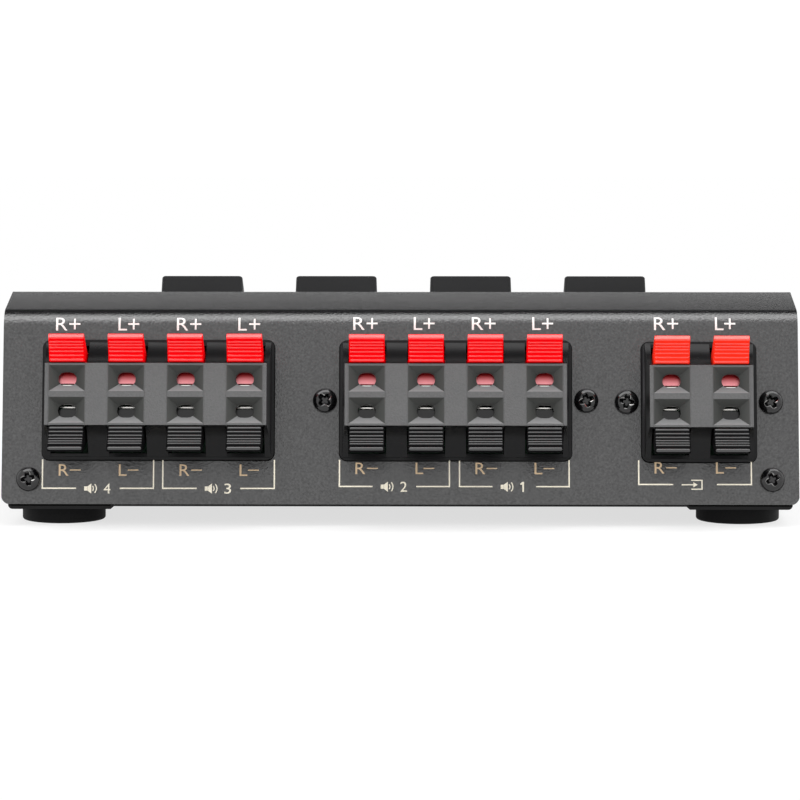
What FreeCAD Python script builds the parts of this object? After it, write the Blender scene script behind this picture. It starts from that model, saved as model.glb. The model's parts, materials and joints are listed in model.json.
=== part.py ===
"""Speaker selector switch: a desktop steel case with three push-lever terminal blocks on its
leaning rear panel and four push buttons on its sloping control panel.

Millimetres. +X runs along the rear panel, +Y points from the rear panel to the control side,
+Z is up, and the origin is on the ground under the middle of the whole object.
"""

import FreeCAD
import Part
import math
import os

V = FreeCAD.Vector
X_AXIS = V(1, 0, 0)

# How far a cutting tool runs past the face that it opens.
tool_margin = 1.0

# ---------------------------------------------------------------- case
cover_sheet = 1.0
bend_radius = 5.0
corner_radius = 2.0
rear_lean = 13.5
rear_rise = 44.9
strip_length = 22.3
strip_rise_angle = 8.95
control_slope = 26.0
control_length = 84.0

tray_sheet = 0.8
tray_step = 0.7
tray_step_width = 0.8
tray_border = 26.0
tray_inset = 1.5
tray_fold_radius = 1.1
tray_fit = 0.2
cover_lift = 1.35
tab_length = 12.0
tab_height = 7.6
tab_lift = 0.9

foot_diameter = 20.0
foot_height = 4.0
foot_edge = 0.6
foot_from_side = 13.7
foot_from_end = 14.8
foot_recess_depth = 2.8
foot_recess_clearance = 0.8

# ---------------------------------------------------------------- screws
screw_head_diameter = 5.8
screw_head_height = 2.0
screw_shank_diameter = 2.9
screw_length = 6.0
screw_clearance = 0.15
thread_fit = 0.05
cross_width = 0.8
cross_span = 3.2
cross_depth = 1.1
rear_screw_from_side = 6.45
rear_screw_height = 5.95
front_screw_from_side = 9.0
front_screw_height = 5.2

# ---------------------------------------------------------------- terminal blocks
terminal_pitch = 14.0
block_end_gap = 0.75
block_height = 28.8
block_corner = 1.8
block_centre_height = 25.0
rim_height = 1.2
rim_inset = 0.6
side_taper = 0.8
plate_half_height = 7.4
plate_front = 11.4
plate_thickness = 2.8
slope_foot = 1.6
slope_sag = 1.0
window_gap = 0.2
flange_border = 1.2
flange_thickness = 2.0
ear_reach = 4.2
ear_half_height = 6.0
rear_body_inset = 0.8
rear_body_depth = 9.0
snap_width = 4.0
snap_reach = 0.4
snap_height = 0.7

well_width = 8.5
well_height = 6.2
well_depth = 2.2
well_web = 1.4
well_floor_width = 3.4
well_floor_height = 2.2
hole_width = 4.3
hole_height = 3.2

lever_width = 8.4
lever_gap = 0.3
pivot_t = 8.5
pivot_n = 2.0
trunnion_radius = 1.0
trunnion_length = 1.0
trunnion_fit = 0.05
eye_radius = 1.9
jaw_tip_t = 3.0
jaw_top_n = 6.8
jaw_tip_thickness = 1.4
jaw_root_n = 4.4
grip_radius = 8.4
grip_start_angle = 10.0
grip_end_angle = 58.0
lip_thickness = 1.0
rib_count = 5
rib_radius = 0.22
rib_first = 0.152
rib_step = 0.123
core_width = 5.2
core_depth = 1.8
cell_outer = 12.9
cell_floor_n = 1.5

contact_thickness = 0.3
contact_width = 3.8
contact_jaw_gap = 0.25
contact_top_n = 6.6
contact_foot = 4.6
tail_width = 2.0
tail_length = 2.2
tail_slot_gap = 0.15

board_thickness = 1.6
back_board_inset = 0.4
peg_radius = 0.9
peg_stand = 0.6
peg_root = 1.0
peg_t = 9.0
peg_fit = 0.1

wide_block_columns = 4
narrow_block_columns = 2
left_block_margin = 9.675
left_middle_gap = 15.65
middle_right_gap = 16.75
right_block_margin = 10.175
left_block_sag = 0.05
middle_block_sag = 0.12
right_block_sag = 0.42
screw_beside_block = 3.55


def block_width(columns):
    return columns * terminal_pitch - block_end_gap


# The case is as wide as its row of blocks, the gaps between them and a margin at each end.
middle_block_from_left = left_block_margin + block_width(wide_block_columns) + left_middle_gap
right_block_from_left = middle_block_from_left + block_width(wide_block_columns) + middle_right_gap
case_width = right_block_from_left + block_width(narrow_block_columns) + right_block_margin
left_block_x = left_block_margin + (block_width(wide_block_columns) - case_width) / 2
middle_block_x = middle_block_from_left + (block_width(wide_block_columns) - case_width) / 2
right_block_x = right_block_from_left + (block_width(narrow_block_columns) - case_width) / 2

# name, columns, centre along the panel, sag below the common centre line, held by screws
BLOCKS = [
    ("left", wide_block_columns, left_block_x, left_block_sag, False),
    ("middle", wide_block_columns, middle_block_x, middle_block_sag, True),
    ("right", narrow_block_columns, right_block_x, right_block_sag, True),
]

# ---------------------------------------------------------------- push buttons and switches
button_count = 4
button_pitch = 33.3
button_centre_x = 0.4
button_from_ridge = 19.1
cap_width = 20.6
cap_depth = 14.0
cap_draft = 0.25
cap_height = 9.0
cap_skirt = 3.0
cap_wall = 1.5
cap_top = 2.0
cap_corner = 1.0
cap_edge = 0.5
cap_gap = 0.4
button_travel = 3.5
socket_wall = 1.5
socket_reach = 0.4
plunger_width = 4.0
plunger_fit = 0.05
plunger_into_cap = 5.0
plunger_play = 0.2
collar_width = 6.4
collar_thickness = 1.2
spring_length = 8.0
spring_turns = 6
spring_wire = 0.5
spring_wire_sides = 12
spring_radius = 3.3
spring_seat = 0.05
switch_width = 17.0
switch_depth = 11.0
plunger_overlap = 3.4
plunger_end_gap = 3.5
switch_floor = 2.0
switch_height = plunger_overlap + button_travel + plunger_end_gap + switch_floor

switch_board_length = 160.0
switch_board_depth = 26.0
pillar_radius = 2.5
pillar_from_end = 4.0
pillar_from_edge = 3.0

# ---------------------------------------------------------------- flat cables
cable_thickness = 1.2
cable_bend = 3.2
cable_per_column = 5.0
cable_start_run = 5.0
cable_drop = 13.5
cable_board_f = -4.0
cable_end_run = 8.0
cable_slack = 1.4


# ---------------------------------------------------------------- geometry helpers
def unit(angle):
    """Direction in a plane, from an angle in degrees."""
    return (math.cos(math.radians(angle)), math.sin(math.radians(angle)))


def step(point, angle, distance):
    """The point that lies a distance away at an angle."""
    direction = unit(angle)
    return (point[0] + distance * direction[0], point[1] + distance * direction[1])


def yz(point, x=0.0):
    """A 2-D point of a profile, as a point of the plane at x."""
    return V(x, point[0], point[1])


def extrude_x(edges_or_points, x0, x1):
    """Solid between two X planes from a profile given by its points or its closed edges."""
    if isinstance(edges_or_points[0], tuple):
        points = [yz(p) for p in edges_or_points]
        wire = Part.makePolygon(points + [points[0]])
    else:
        wire = Part.Wire(edges_or_points)
    face = Part.Face(wire)
    face.translate(V(x0, 0, 0))
    return face.extrude(V(x1 - x0, 0, 0))


def box(x0, x1, y0, y1, z0, z1):
    return Part.makeBox(x1 - x0, y1 - y0, z1 - z0, V(x0, y0, z0))


def centred_box(width, height, z0, z1, x=0.0, y=0.0):
    return box(x - width / 2, x + width / 2, y - height / 2, y + height / 2, z0, z1)


def rectangle_wire(width, height, z, x=0.0, y=0.0):
    corners = [
        V(x - width / 2, y - height / 2, z),
        V(x + width / 2, y - height / 2, z),
        V(x + width / 2, y + height / 2, z),
        V(x - width / 2, y + height / 2, z),
    ]
    return Part.makePolygon(corners + [corners[0]])


def fuse(shapes):
    whole = shapes[0].fuse(shapes[1:]) if len(shapes) > 1 else shapes[0]
    return whole.removeSplitter()


def cut(shape, tools):
    return shape.cut(Part.makeCompound(tools)).removeSplitter()


def upright_edges(shape, direction=V(0, 0, 1)):
    """Straight edges of the shape that run along a direction."""
    found = []
    for edge in shape.Edges:
        if len(edge.Vertexes) != 2:
            continue
        run = edge.Vertexes[1].Point - edge.Vertexes[0].Point
        if run.Length > 0 and abs(abs(run.dot(direction)) - run.Length) < 1e-6:
            found.append(edge)
    return found


def mirrored_t(shape):
    """The same piece on the other side of a terminal block's centre line."""
    return shape.mirror(V(0, 0, 0), V(0, 1, 0))


def offset_points(points, distance):
    """Corner points of an open outline moved sideways by a distance, to the right of its run."""
    moved = []
    for i, point in enumerate(points):
        normals = []
        for a, b in ((i - 1, i), (i, i + 1)):
            if a < 0 or b >= len(points):
                continue
            run = (points[b][0] - points[a][0], points[b][1] - points[a][1])
            length = math.hypot(run[0], run[1])
            normals.append((run[1] / length, -run[0] / length))
        if len(normals) == 1:
            shift = (normals[0][0] * distance, normals[0][1] * distance)
        else:
            n0, n1 = normals
            share = distance / (1 + n0[0] * n1[0] + n0[1] * n1[1])
            shift = ((n0[0] + n1[0]) * share, (n0[1] + n1[1]) * share)
        moved.append((point[0] + shift[0], point[1] + shift[1]))
    return moved


def rounded_path(points, radius_at):
    """Edges of an open outline through its corner points, each corner rounded."""
    edges = []
    start = points[0]
    for i in range(1, len(points) - 1):
        before, corner, after = points[i - 1], points[i], points[i + 1]
        into = math.degrees(math.atan2(corner[1] - before[1], corner[0] - before[0]))
        out = math.degrees(math.atan2(after[1] - corner[1], after[0] - corner[0]))
        turn = (out - into + 180.0) % 360.0 - 180.0
        radius = radius_at(i, turn)
        reach = radius * abs(math.tan(math.radians(turn / 2)))
        first = step(corner, into, -reach)
        last = step(corner, out, reach)
        side = 90.0 if turn > 0 else -90.0
        centre = step(first, into + side, radius)
        middle = step(centre, into - side + turn / 2, radius)
        edges.append(Part.LineSegment(yz(start), yz(first)).toShape())
        edges.append(Part.Arc(yz(first), yz(middle), yz(last)).toShape())
        start = last
    edges.append(Part.LineSegment(yz(start), yz(points[-1])).toShape())
    return edges


def band(points, thickness, bend_outside):
    """Closed edges of a bent band whose left side runs through the corner points.

    Every bend has the given radius on its outside and that radius less the thickness inside.
    """
    other = offset_points(points, thickness)
    bend_inside = bend_outside - thickness

    def left_radius(index, turn):
        return bend_outside if turn < 0 else bend_inside

    def right_radius(index, turn):
        return bend_inside if turn < 0 else bend_outside

    edges = rounded_path(points, left_radius) + rounded_path(other, right_radius)
    edges.append(Part.LineSegment(yz(points[0]), yz(other[0])).toShape())
    edges.append(Part.LineSegment(yz(points[-1]), yz(other[-1])).toShape())
    return Part.__sortEdges__(edges)


# ---------------------------------------------------------------- the case's side outline
cover_bottom = foot_height + cover_lift
grip_reach_n = plate_front + lever_gap + grip_radius * (
    math.cos(math.radians(grip_start_angle)) - math.cos(math.radians(grip_end_angle))
)
tan_lean = math.tan(math.radians(rear_lean))
rear_slope_height = rear_rise / math.cos(math.radians(rear_lean))
ridge_depth = rear_rise * tan_lean + strip_length * math.cos(math.radians(strip_rise_angle))
case_depth = ridge_depth + control_length * math.cos(math.radians(control_slope))
lip_in_t = plate_half_height + lever_gap + grip_radius * (
    math.sin(math.radians(grip_end_angle)) - math.sin(math.radians(grip_start_angle))
)
lever_overhang = grip_reach_n * math.cos(math.radians(rear_lean)) - (
    block_centre_height - lip_in_t
) * math.sin(math.radians(rear_lean))
rear_y = (lever_overhang - case_depth - screw_head_height) / 2
front_y = rear_y + case_depth

rear_bottom = (rear_y, cover_bottom)
rear_top = step(rear_bottom, 90.0 - rear_lean, rear_slope_height)
ridge = step(rear_top, strip_rise_angle, strip_length)
lip_top = step(ridge, -control_slope, control_length)
lip_bottom = (lip_top[0], cover_bottom)
outline = [rear_bottom, rear_top, ridge, lip_top, lip_bottom]

# On the rear panel: x along it, t up it, n out of it. On the control panel: x along it,
# f down its slope to the front, m out of it.
rear_turn = FreeCAD.Rotation(X_AXIS, 90.0 - rear_lean)
control_turn = FreeCAD.Rotation(X_AXIS, -control_slope)


def rear_frame(x, height):
    """Place on the rear panel's outer face, at a height up its slope."""
    y, z = step(rear_bottom, 90.0 - rear_lean, height)
    return FreeCAD.Placement(V(x, y, z), rear_turn)


def control_frame(x):
    """Place on the control panel's outer face, at a button's centre."""
    y, z = step(ridge, -control_slope, button_from_ridge)
    return FreeCAD.Placement(V(x, y, z), control_turn)


def placed(shape, placement):
    moved = shape.copy()
    moved.Placement = placement.multiply(moved.Placement)
    return moved


block_frames = {
    name: rear_frame(x, block_centre_height - sag) for name, _, x, sag, _ in BLOCKS
}
button_xs = [
    button_centre_x + (i - (button_count - 1) / 2) * button_pitch for i in range(button_count)
]
# Button 1 is at the left of somebody who faces the control panel.
buttons = {button_count - i: x for i, x in enumerate(button_xs)}


# ---------------------------------------------------------------- screws
def screw():
    """Cross-head pan screw along Z: head above z = 0, shank below."""
    radius = screw_head_diameter / 2
    head = Part.makeCylinder(radius, screw_head_height)
    crown = [edge for edge in head.Edges if edge.BoundBox.ZMin > screw_head_height / 2]
    head = head.makeFillet(screw_head_height * 0.7, [e for e in crown if len(e.Vertexes) == 1])
    shank = Part.makeCylinder(screw_shank_diameter / 2, screw_length, V(0, 0, -screw_length))
    top = screw_head_height
    recess = [
        centred_box(cross_span, cross_width, top - cross_depth, top + tool_margin),
        centred_box(cross_width, cross_span, top - cross_depth, top + tool_margin),
    ]
    return cut(fuse([head, shank]), recess)


SCREW = screw()


def clearance_hole(placement, depth=screw_length, gap=screw_clearance):
    """Hole for a screw's shank, through whatever lies around the seat."""
    radius = screw_shank_diameter / 2 + gap
    return placed(Part.makeCylinder(radius, 2 * depth, V(0, 0, -depth)), placement)


def block_screw_x(columns):
    """Distance of a block's fixing screws from its middle."""
    return block_width(columns) / 2 + screw_beside_block


rear_screw_places = [
    rear_frame(side * (case_width / 2 - rear_screw_from_side), rear_screw_height)
    for side in (-1, 1)
]
front_screw_places = [
    FreeCAD.Placement(
        V(side * (case_width / 2 - front_screw_from_side), front_y, cover_bottom + front_screw_height),
        FreeCAD.Rotation(X_AXIS, -90),
    )
    for side in (-1, 1)
]
terminal_screw_places = [
    rear_frame(x + side * block_screw_x(columns), block_centre_height - sag)
    for _, columns, x, sag, screwed in BLOCKS
    if screwed
    for side in (-1, 1)
]
foot_places = {
    f"foot_{end}_{side}": (
        sx * (case_width / 2 - foot_from_side),
        rear_y + foot_from_end if end == "rear" else front_y - foot_from_end,
    )
    for end in ("rear", "front")
    for side, sx in (("left", -1), ("right", 1))
}
foot_screw_turn = FreeCAD.Rotation(X_AXIS, 180)
foot_screw_places = [
    FreeCAD.Placement(V(x, y, foot_recess_depth), foot_screw_turn) for x, y in foot_places.values()
]


# ---------------------------------------------------------------- cover and tray
def top_cover():
    """Rear panel, top strip, control panel and front lip, bent from one sheet."""
    half = case_width / 2
    sheet = extrude_x(band(outline, cover_sheet, bend_radius), -half, half)
    free_corners = []
    for through_sheet in (rear_turn.multVec(V(0, 0, 1)), V(0, 1, 0)):
        for edge in upright_edges(sheet, through_sheet):
            low = edge.BoundBox.ZMin < cover_bottom + cover_sheet
            at_side = abs(abs(edge.BoundBox.XMin) - half) < cover_sheet / 10
            if low and at_side:
                free_corners.append(edge)
    sheet = sheet.makeFillet(corner_radius, free_corners)
    tools = []
    for name, columns, _, _, _ in BLOCKS:
        window = centred_box(
            block_width(columns) + 2 * window_gap,
            block_height + 2 * window_gap,
            -2 * cover_sheet,
            cover_sheet,
        )
        window = window.makeFillet(block_corner + window_gap, upright_edges(window))
        tools.append(placed(window, block_frames[name]))
    for x in button_xs:
        window = centred_box(
            cap_width + 2 * cap_gap, cap_depth + 2 * cap_gap, -2 * cover_sheet, cover_sheet
        )
        window = window.makeFillet(cap_corner + cap_gap, upright_edges(window))
        tools.append(placed(window, control_frame(x)))
    for place in rear_screw_places + front_screw_places + terminal_screw_places:
        tools.append(clearance_hole(place, depth=2 * cover_sheet))
    return cut(sheet, tools)


def chassis_tray():
    """Bottom sheet with a raised middle, folded up into a cheek at each side."""
    outer = case_width / 2 - tray_inset
    inner = outer - tray_sheet
    low = foot_height
    step_x = case_width / 2 - tray_border
    back = rear_y + cover_sheet / math.cos(math.radians(rear_lean)) + tray_fit
    front = front_y - cover_sheet - tray_fit
    section = [
        (-outer, low),
        (-step_x, low),
        (-step_x + tray_step_width, low + tray_step),
        (step_x - tray_step_width, low + tray_step),
        (step_x, low),
        (outer, low),
        (outer, low + tray_sheet),
        (step_x, low + tray_sheet),
        (step_x - tray_step_width, low + tray_step + tray_sheet),
        (-step_x + tray_step_width, low + tray_step + tray_sheet),
        (-step_x, low + tray_sheet),
        (-outer, low + tray_sheet),
    ]
    corners = [V(x, back, z) for x, z in section]
    floor = Part.Face(Part.makePolygon(corners + [corners[0]])).extrude(V(0, front - back, 0))
    inside = offset_points(outline, cover_sheet + tray_fit)
    cheek_outline = [(back, low)] + inside[1:-1] + [(front, low)]
    bends = rounded_path(cheek_outline, lambda index, turn: bend_radius - cover_sheet - tray_fit)
    bends.append(Part.LineSegment(yz(cheek_outline[-1]), yz(cheek_outline[0])).toShape())
    pieces = [floor]
    for side in (-1, 1):
        cheek = extrude_x(bends, inner, outer)
        pieces.append(cheek if side > 0 else cheek.mirror(V(0, 0, 0), X_AXIS))
        x0, x1 = sorted((side * (outer - tab_length), side * outer))
        rear_tab = box(
            x0, x1, tab_lift, tab_lift + tab_height, -cover_sheet - tray_sheet, -cover_sheet
        )
        pieces.append(placed(rear_tab, rear_frame(0, 0)))
        front_face = front_y - cover_sheet
        pieces.append(
            box(
                x0,
                x1,
                front_face - tray_sheet,
                front_face,
                cover_bottom + tab_lift,
                cover_bottom + tab_lift + tab_height,
            )
        )
    tray = fuse(pieces)
    folds = []
    for edge in upright_edges(tray, V(0, 1, 0)):
        outside = abs(abs(edge.BoundBox.XMin) - outer) < tray_sheet / 10
        if outside and edge.BoundBox.ZMax < low + tray_sheet / 10:
            folds.append(edge)
    tray = tray.makeFillet(tray_fold_radius, folds)
    tools = []
    for place in rear_screw_places + front_screw_places:
        tools.append(clearance_hole(place, gap=thread_fit))
    for place in foot_screw_places:
        tools.append(clearance_hole(place, gap=thread_fit))
    return cut(tray, tools)


def foot(x, y):
    body = Part.makeCylinder(foot_diameter / 2, foot_height, V(x, y, 0))
    rims = [e for e in body.Edges if len(e.Vertexes) == 1 and e.BoundBox.ZMax < foot_edge]
    body = body.makeFillet(foot_edge, rims)
    recess_radius = screw_head_diameter / 2 + foot_recess_clearance
    recess = Part.makeCylinder(recess_radius, foot_recess_depth, V(x, y, 0))
    bore_radius = screw_shank_diameter / 2 + screw_clearance
    bore = Part.makeCylinder(bore_radius, foot_height, V(x, y, 0))
    return cut(body, [recess, bore])


# ---------------------------------------------------------------- terminal blocks
def column_xs(columns):
    return [(i - (columns - 1) / 2) * terminal_pitch for i in range(columns)]


def upper_cell(x):
    """Room for the upper lever and contact of one column, open at the back and at the grip."""
    half = lever_width / 2 + lever_gap
    cell = box(
        x - half,
        x + half,
        well_web / 2,
        cell_outer,
        -rear_body_depth,
        plate_front - plate_thickness,
    )
    slot = box(x - half, x + half, plate_half_height, block_height, cell_floor_n, 2 * plate_front)
    bearing_half = half + trunnion_length
    bearing = Part.makeCylinder(
        trunnion_radius + trunnion_fit,
        2 * bearing_half,
        V(x - bearing_half, pivot_t, pivot_n),
        X_AXIS,
    )
    return [cell, slot, bearing]


def upper_well(x):
    """Pyramid recess in the face plate, with the oval wire hole in its floor."""
    centre = (well_web + well_height) / 2
    floor_n = plate_front - well_depth
    funnel = Part.makeLoft(
        [
            rectangle_wire(well_floor_width, well_floor_height, floor_n, x, centre),
            rectangle_wire(well_width, well_height, plate_front, x, centre),
        ],
        True,
        True,
    )
    hole = centred_box(hole_width, hole_height, floor_n - plate_thickness, plate_front, x, centre)
    hole = hole.makeFillet(hole_height * 0.49, upright_edges(hole))
    return [funnel, hole]


def upper_body(width):
    """Raised part of a block: face plate, two hollow slopes and tapered ends."""
    foot_t = block_height / 2 - rim_inset
    mid_t = (plate_half_height + foot_t) / 2 - slope_sag
    mid_n = (plate_front + slope_foot) / 2 - slope_sag
    floor = rim_height / 2
    profile = []
    for sign in (1, -1):
        top = (sign * plate_half_height, plate_front)
        middle = (sign * mid_t, mid_n)
        bottom = (sign * foot_t, slope_foot)
        profile.append(Part.Arc(yz(top), yz(middle), yz(bottom)).toShape())
        profile.append(Part.LineSegment(yz(bottom), yz((sign * foot_t, floor))).toShape())
    profile.append(Part.LineSegment(yz((-foot_t, floor)), yz((foot_t, floor))).toShape())
    profile.append(
        Part.LineSegment(
            yz((-plate_half_height, plate_front)), yz((plate_half_height, plate_front))
        ).toShape()
    )
    half = width / 2 - rim_inset
    body = extrude_x(Part.__sortEdges__(profile), -half, half)
    ends = Part.makeLoft(
        [
            rectangle_wire(2 * half, block_height, floor),
            rectangle_wire(2 * (half - side_taper), block_height, plate_front),
        ],
        True,
        True,
    )
    return body.common(ends)


def terminal_housing(columns, screwed):
    """Moulded block, pushed through the panel from inside against its flange."""
    width = block_width(columns)
    base = centred_box(width, block_height, -cover_sheet - flange_thickness, rim_height)
    base = base.makeFillet(block_corner, upright_edges(base))
    flange_back = -cover_sheet - flange_thickness
    pieces = [
        base,
        upper_body(width),
        centred_box(
            width + 2 * flange_border, block_height + 2 * flange_border, flange_back, -cover_sheet
        ),
        centred_box(
            width - 2 * rear_body_inset,
            block_height - 2 * rear_body_inset,
            -rear_body_depth,
            flange_back,
        ),
    ]
    if screwed:
        ears_width = 2 * (block_screw_x(columns) + ear_reach)
        pieces.append(centred_box(ears_width, 2 * ear_half_height, flange_back, -cover_sheet))
    else:
        for side in (-1, 1):
            x = side * (width / 2 + (snap_reach + window_gap) / 2)
            nose = centred_box(snap_reach + window_gap, snap_width, 0, snap_height, x)
            pieces.append(nose)
    for x, t in peg_places(columns):
        root = V(x, t, peg_root - rear_body_depth)
        length = peg_root + board_thickness + peg_stand
        pieces.append(Part.makeCylinder(peg_radius, length, root, V(0, 0, -1)))
    tools = []
    for x in column_xs(columns):
        for tool in upper_cell(x) + upper_well(x):
            tools.append(tool)
            tools.append(mirrored_t(tool))
    if screwed:
        for side in (-1, 1):
            tools.append(
                Part.makeCylinder(
                    screw_shank_diameter / 2 + thread_fit,
                    2 * screw_length,
                    V(side * block_screw_x(columns), 0, -screw_length),
                )
            )
    return cut(fuse(pieces), tools)


def peg_places(columns):
    """Pegs for the back board stand in the walls between the outermost two columns."""
    reach = (columns / 2 - 1) * terminal_pitch
    xs = sorted({-reach, reach})
    return [(x, t) for x in xs for t in (-peg_t, peg_t)]


def grip_angle_point(angle):
    """Point on a lever's grip, where the surface slopes at an angle."""
    start = (plate_half_height + lever_gap, plate_front + lever_gap)
    centre = step(start, 90.0 + grip_start_angle, grip_radius)
    return step(centre, angle - 90.0, grip_radius)


def upper_lever():
    """Lever of the upper row: ribbed grip, jaw behind the plate, trunnions in the block."""
    start = grip_angle_point(grip_start_angle)
    middle = grip_angle_point((grip_start_angle + grip_end_angle) / 2)
    lip_in = grip_angle_point(grip_end_angle)
    lip_out = step(lip_in, grip_end_angle - 90.0, lip_thickness)
    back = (pivot_t + eye_radius, pivot_n)
    under = (pivot_t, pivot_n - eye_radius)
    front = (pivot_t - eye_radius, pivot_n)
    jaw_root = (front[0], jaw_root_n)
    jaw_low = (jaw_tip_t, jaw_top_n - jaw_tip_thickness)
    jaw_top = (jaw_tip_t, jaw_top_n)
    neck = (start[0], jaw_top_n)
    edges = [
        Part.Arc(yz(start), yz(middle), yz(lip_in)).toShape(),
        Part.LineSegment(yz(lip_in), yz(lip_out)).toShape(),
        Part.LineSegment(yz(lip_out), yz(back)).toShape(),
        Part.Arc(yz(back), yz(under), yz(front)).toShape(),
    ]
    run = [front, jaw_root, jaw_low, jaw_top, neck, start]
    for a, b in zip(run, run[1:]):
        edges.append(Part.LineSegment(yz(a), yz(b)).toShape())
    half = lever_width / 2
    body = extrude_x(Part.__sortEdges__(edges), -half, half)
    pin_half = half + trunnion_length
    pieces = [
        body,
        Part.makeCylinder(trunnion_radius, 2 * pin_half, V(-pin_half, pivot_t, pivot_n), X_AXIS),
    ]
    for i in range(rib_count):
        share = rib_first + rib_step * i
        angle = grip_start_angle + share * (grip_end_angle - grip_start_angle)
        t, n = grip_angle_point(angle)
        pieces.append(Part.makeCylinder(rib_radius, lever_width, V(-half, t, n), X_AXIS))
    lever = fuse(pieces)
    back_run = math.degrees(math.atan2(lip_out[1] - back[1], lip_out[0] - back[0]))
    pocket_low = step(back, back_run, 2 * eye_radius)
    pocket_high = step(lip_out, back_run, -2 * lip_thickness)
    pocket = [
        step(pocket_low, back_run - 90.0, tool_margin),
        step(pocket_high, back_run - 90.0, tool_margin),
        step(pocket_high, back_run + 90.0, lip_thickness),
        step(pocket_low, back_run + 90.0, core_depth),
    ]
    return cut(lever, [extrude_x(pocket, -core_width / 2, core_width / 2)])


def upper_contact():
    """Bronze leaf that stands beside the jaw, with its foot and solder tail at the board."""
    t1 = jaw_tip_t - contact_jaw_gap
    t0 = t1 - contact_thickness
    bottom = -rear_body_depth
    half = contact_width / 2
    leaf = box(-half, half, t0, t1, bottom, contact_top_n)
    foot_strip = box(-half, half, t0, t0 + contact_foot, bottom, bottom + contact_thickness)
    tail = box(
        -tail_width / 2, tail_width / 2, t0, t1, bottom - board_thickness - tail_length, bottom
    )
    return fuse([leaf, foot_strip, tail])


def contact_group(columns):
    solids = []
    for x in column_xs(columns):
        leaf = upper_contact()
        leaf.translate(V(x, 0, 0))
        solids.append(leaf)
        solids.append(mirrored_t(leaf))
    return Part.makeCompound(solids)


def back_board(columns):
    """Printed board on the back of a block, with a slot for each solder tail."""
    width = block_width(columns) - 2 * (rear_body_inset + back_board_inset)
    height = block_height - 2 * (rear_body_inset + back_board_inset)
    top = -rear_body_depth
    board = centred_box(width, height, top - board_thickness, top)
    t_mid = jaw_tip_t - contact_jaw_gap - contact_thickness / 2
    tools = []
    for x in column_xs(columns):
        for sign in (-1, 1):
            tools.append(
                centred_box(
                    tail_width + 2 * tail_slot_gap,
                    contact_thickness + 2 * tail_slot_gap,
                    top - 2 * board_thickness,
                    top + tool_margin,
                    x,
                    sign * t_mid,
                )
            )
    for x, t in peg_places(columns):
        centre = V(x, t, top - 2 * board_thickness)
        tools.append(Part.makeCylinder(peg_radius + peg_fit, 3 * board_thickness, centre))
    return cut(board, tools)


# ---------------------------------------------------------------- switches
socket_bottom = -cap_skirt - socket_reach
collar_top = socket_bottom
collar_bottom = collar_top - collar_thickness
switch_top = collar_bottom - spring_length
switch_bottom = switch_top - switch_height
board_back = switch_bottom - board_thickness


def button_cap():
    """Hollow cap with a skirt through the panel and a socket for the plunger."""
    def shell(inset, bottom, top):
        draft = cap_draft * (top - bottom) / cap_height
        return Part.makeLoft(
            [
                rectangle_wire(cap_width - 2 * inset, cap_depth - 2 * inset, bottom),
                rectangle_wire(
                    cap_width - 2 * (inset + draft), cap_depth - 2 * (inset + draft), top
                ),
            ],
            True,
            True,
        )

    outside = shell(0, -cap_skirt, cap_height)
    slanted = [e for e in outside.Edges if e.BoundBox.ZLength > cap_height / 2]
    outside = outside.makeFillet(cap_corner, slanted)
    crown = [e for e in outside.Edges if e.BoundBox.ZMin > cap_height - cap_edge / 10]
    outside = outside.makeFillet(cap_edge, crown)
    inside = shell(cap_wall, -cap_skirt, cap_height - cap_top)
    socket_width = plunger_width + 2 * socket_wall
    socket = centred_box(socket_width, socket_width, socket_bottom, cap_height - cap_top / 2)
    bore_width = plunger_width + 2 * plunger_fit
    bore = centred_box(bore_width, bore_width, socket_bottom - tool_margin, plunger_into_cap)
    return cut(fuse([cut(outside, [inside]), socket]), [bore])


def plunger():
    bottom = switch_top - plunger_overlap
    stem = centred_box(plunger_width, plunger_width, bottom, plunger_into_cap)
    collar = centred_box(collar_width, collar_width, collar_bottom, collar_top)
    return fuse([stem, collar])


def switch_body():
    body = centred_box(switch_width, switch_depth, switch_bottom, switch_top)
    bore_width = plunger_width + 2 * plunger_play
    bore_top = switch_top + tool_margin
    bore = centred_box(bore_width, bore_width, switch_bottom + switch_floor, bore_top)
    return cut(body, [bore])


def return_spring():
    """Coil spring between the switch body and the plunger's collar."""
    height = spring_length - spring_wire - 2 * spring_seat
    helix = Part.makeHelix(height / spring_turns, height, spring_radius)
    corners = []
    for i in range(spring_wire_sides):
        across, up = step((spring_radius, 0), 360.0 * i / spring_wire_sides, spring_wire / 2)
        corners.append(V(across, 0, up))
    section = Part.makePolygon(corners + [corners[0]])
    coil = Part.Wire(helix).makePipeShell([section], True, True)
    coil.translate(V(0, 0, switch_top + spring_seat + spring_wire / 2))
    return coil


pillar_xs = [
    side * (switch_board_length / 2 - pillar_from_end) for side in (-1, 1)
] + [0.0]
pillar_fs = [side * (switch_board_depth / 2 - pillar_from_edge) for side in (-1, 1)]
pillar_places = [(x, f) for x in pillar_xs for f in pillar_fs]


def switch_board():
    board = centred_box(switch_board_length, switch_board_depth, board_back, switch_bottom)
    tools = [
        Part.makeCylinder(
            screw_shank_diameter / 2 + screw_clearance,
            2 * screw_length,
            V(x, f, board_back - tool_margin),
        )
        for x, f in pillar_places
    ]
    return cut(board, tools)


def board_pillars():
    """Threaded pillars between the control panel and the switch board."""
    solids = []
    length = -cover_sheet - switch_bottom
    for x, f in pillar_places:
        pillar = Part.makeCylinder(pillar_radius, length, V(x, f, switch_bottom))
        bore = Part.makeCylinder(
            screw_shank_diameter / 2 + thread_fit, screw_length, V(x, f, switch_bottom)
        )
        solids.append(cut(pillar, [bore]))
    return Part.makeCompound(solids)


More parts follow.
